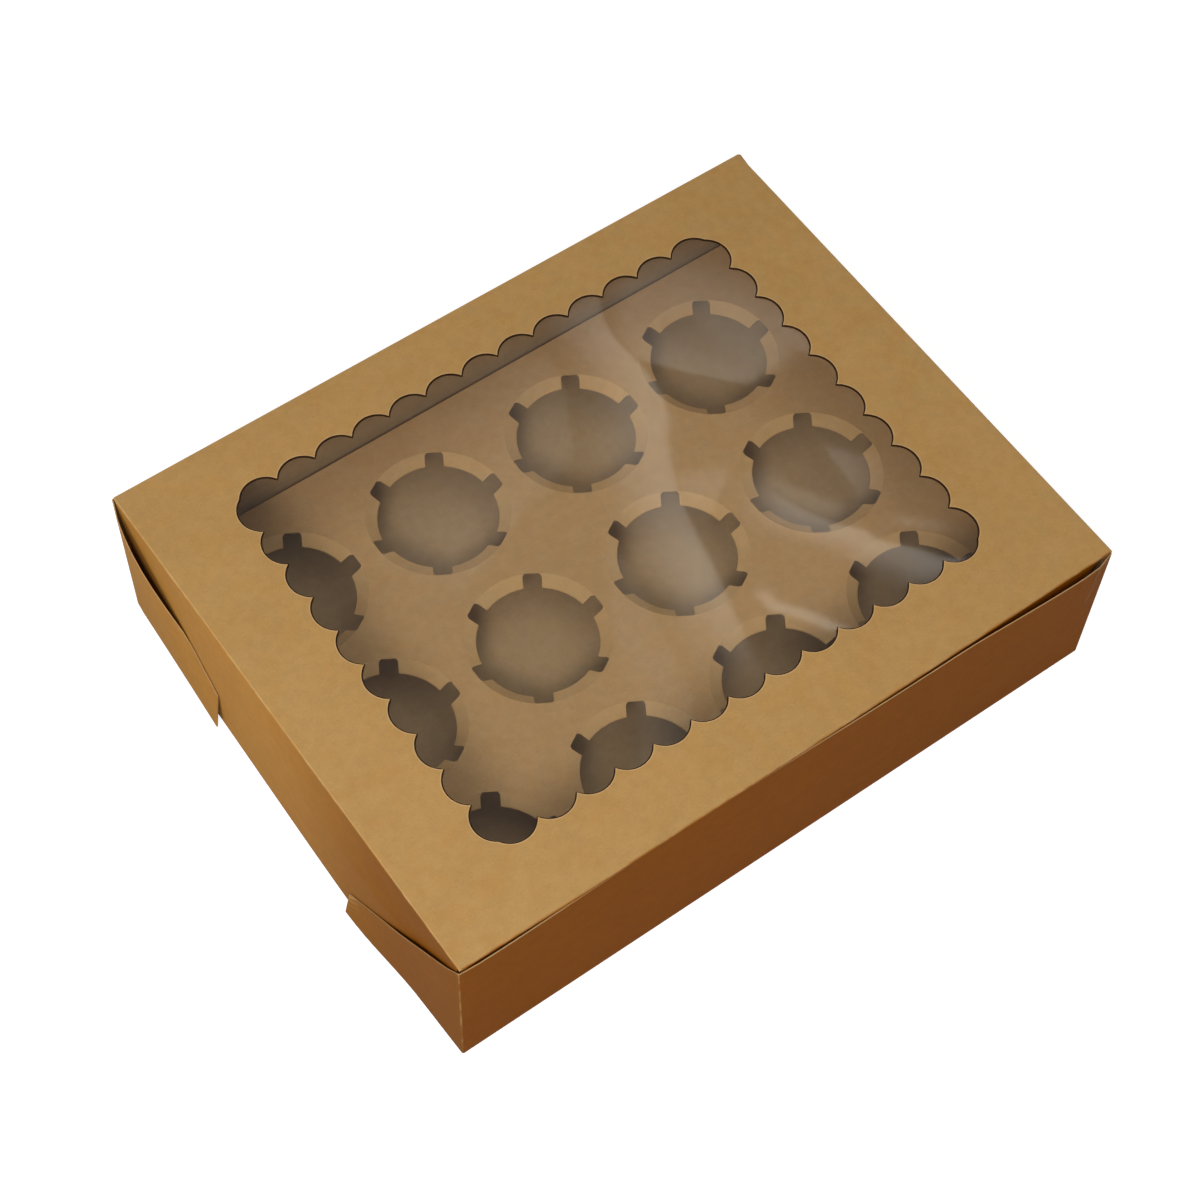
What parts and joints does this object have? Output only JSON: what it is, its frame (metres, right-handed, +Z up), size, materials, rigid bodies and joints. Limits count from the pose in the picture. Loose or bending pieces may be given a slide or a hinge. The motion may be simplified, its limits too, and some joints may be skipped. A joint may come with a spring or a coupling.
{
  "type": "cupcake box",
  "caption": "Low rectangular folded kraft-card bakery box with a hinged lid, a scalloped clear-film window and a card insert with notched cupcake holes.",
  "frame": {"origin": "centre of the box's underside, on the table", "axes": "+X along the long front wall, to the right seen from the front; -Y the front, where the lid opens; +Y the back, where the lid's crease is; +Z up"},
  "size_m": [0.335, 0.2589, 0.084],
  "materials": {
    "kraft_card": "matte",
    "insert_card": "matte",
    "clear_film": "gloss"
  },
  "bodies": {
    "tray": {"base_tray": "kraft_card", "insert_tray": "insert_card"},
    "lid": {"lid": "kraft_card", "window_film": "clear_film"}
  },
  "joints": [
    {"name": "lid_crease", "type": "hinge", "parent": "tray", "child": "lid", "pos_m": [0, 0.1275, 0.08335], "axis": [-1, 0, 0], "range_deg": [0, 180]}
  ]
}
